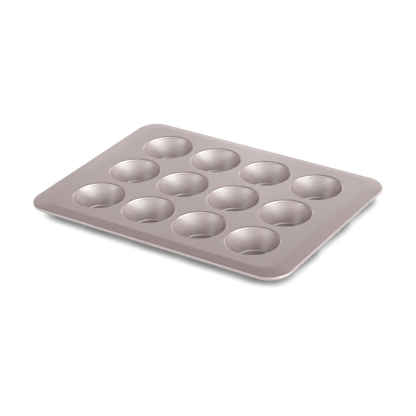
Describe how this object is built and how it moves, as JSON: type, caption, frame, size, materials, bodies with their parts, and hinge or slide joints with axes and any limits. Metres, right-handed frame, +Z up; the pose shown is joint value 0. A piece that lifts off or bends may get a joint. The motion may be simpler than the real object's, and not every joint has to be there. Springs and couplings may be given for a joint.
{
  "type": "muffin pan",
  "caption": "Muffin pan: flat deck sheet with a sloping border and wired rolled rim, carrying a grid of separately drawn round tapered cups for baking batter.",
  "frame": {"origin": "under the middle of the pan, on the plane of the cups' flat undersides", "axes": "+X along the pan's long side to the right, +Y to the back, +Z up out of the cups"},
  "size_m": [0.3868, 0.289, 0.0301],
  "materials": {
    "coated_steel": "satin rose-silver non-stick coating",
    "wire_steel": "bare drawn wire"
  },
  "bodies": {
    "root": {"deck_sheet": "coated_steel", "rim_wire": "wire_steel", "cup_front_1": "coated_steel", "cup_front_2": "coated_steel", "cup_front_3": "coated_steel", "cup_front_4": "coated_steel", "cup_middle_1": "coated_steel", "cup_middle_2": "coated_steel", "cup_middle_3": "coated_steel", "cup_middle_4": "coated_steel", "cup_back_1": "coated_steel", "cup_back_2": "coated_steel", "cup_back_3": "coated_steel", "cup_back_4": "coated_steel"}
  },
  "joints": []
}
